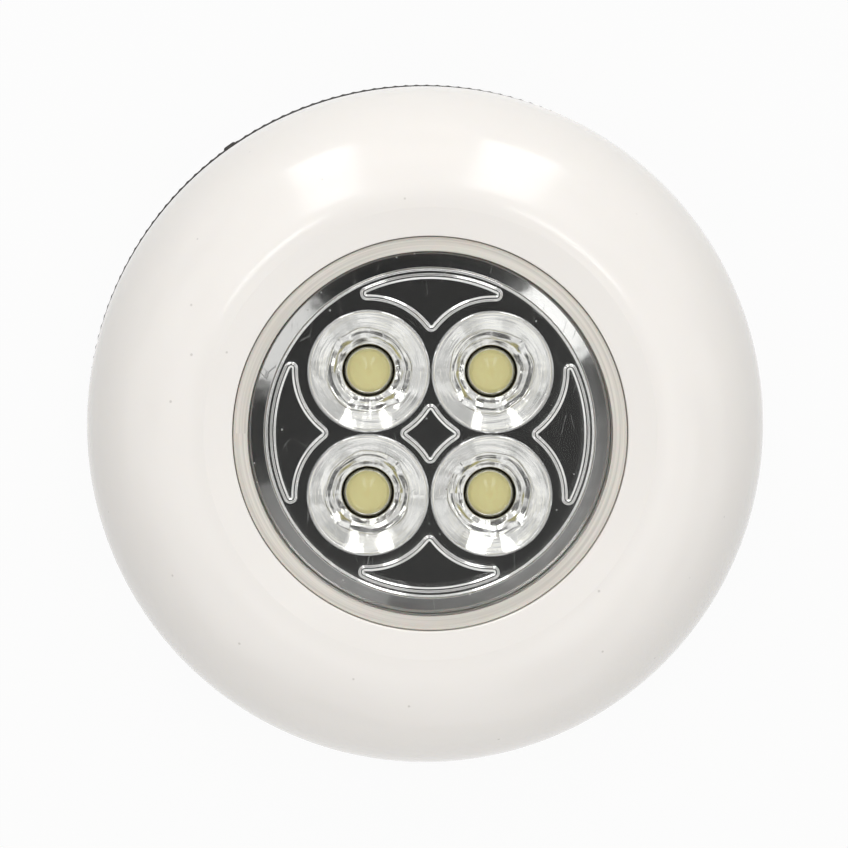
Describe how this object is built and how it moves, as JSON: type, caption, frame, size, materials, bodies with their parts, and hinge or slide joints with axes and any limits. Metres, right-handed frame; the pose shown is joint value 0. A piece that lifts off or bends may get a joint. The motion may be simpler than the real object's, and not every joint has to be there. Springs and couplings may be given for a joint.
{
  "type": "stick-on led light",
  "caption": "Round battery push light with a domed cream ring, clear lens, chromed reflector with LEDs and a knurled back cover with an adhesive pad.",
  "frame": {"origin": "centre of the adhesive pad's back face, which is the lowest point", "axes": "+Z out through the lens along the light's axis; +Y towards the top of the light as pictured, +X to its right"},
  "size_m": [0.0706, 0.0706, 0.029],
  "materials": {
    "foam_tape": "white closed-cell foam tape",
    "black_moulding": "black moulded plastic, satin",
    "black_holder": "black moulded plastic, satin",
    "cell_sleeve": "film sleeve over a metal can",
    "contact_plating": "nickel-plated spring steel",
    "board_laminate": "paper laminate with solder",
    "screw_zinc": "zinc-plated steel",
    "led_epoxy": "clear epoxy over yellow phosphor",
    "resistor_lacquer": "beige lacquer with colour bands",
    "switch_shell": "black moulded plastic",
    "plunger_nylon": "natural nylon",
    "spring_wire": "drawn spring steel wire",
    "red_insulation": "red PVC insulation",
    "black_insulation": "black PVC insulation",
    "cream_moulding": "cream-white gloss ABS",
    "clear_styrene": "clear polished polystyrene",
    "metallised_plastic": "vacuum-metallised mirror"
  },
  "bodies": {
    "base": {"adhesive_pad": "foam_tape", "back_cover": "black_moulding"},
    "holder": {"battery_holder": "black_holder", "battery_cell_1": "cell_sleeve", "battery_cell_2": "cell_sleeve", "battery_cell_3": "cell_sleeve", "contact_plate_positive": "contact_plating", "contact_bridge_front": "contact_plating", "contact_bridge_back": "contact_plating", "contact_spring_negative": "contact_plating", "circuit_board": "board_laminate", "board_screw_1": "screw_zinc", "board_screw_2": "screw_zinc", "led_1": "led_epoxy", "led_2": "led_epoxy", "led_3": "led_epoxy", "led_4": "led_epoxy", "resistor": "resistor_lacquer", "switch_body": "switch_shell", "return_spring_1": "spring_wire", "return_spring_2": "spring_wire", "return_spring_3": "spring_wire", "battery_lead_positive": "red_insulation", "battery_lead_negative": "black_insulation"},
    "plunger": {"switch_plunger": "plunger_nylon"},
    "dome": {"dome_cap": "cream_moulding", "lens": "clear_styrene", "reflector": "metallised_plastic", "reflector_screw_1": "screw_zinc", "reflector_screw_2": "screw_zinc", "reflector_screw_3": "screw_zinc"}
  },
  "joints": [
    {"name": "lock_twist", "type": "hinge", "parent": "base", "child": "holder", "pos_m": [0, 0, 0.008], "axis": [0, 0, 1], "range_deg": [0, 20]},
    {"name": "dome_press", "type": "slide", "parent": "holder", "child": "dome", "axis": [0, 0, 1], "range_m": [-0.0015, 0], "stiffness_N_per_m": 2000, "springref_m": 0.002, "deforming": ["return_spring_1", "return_spring_2", "return_spring_3"]},
    {"name": "plunger_travel", "type": "slide", "parent": "holder", "child": "plunger", "axis": [0, 0, 1], "range_m": [-0.0015, 0]}
  ],
  "couplings": [
    {"joint": "plunger_travel", "follows": "dome_press", "ratio": 1}
  ]
}
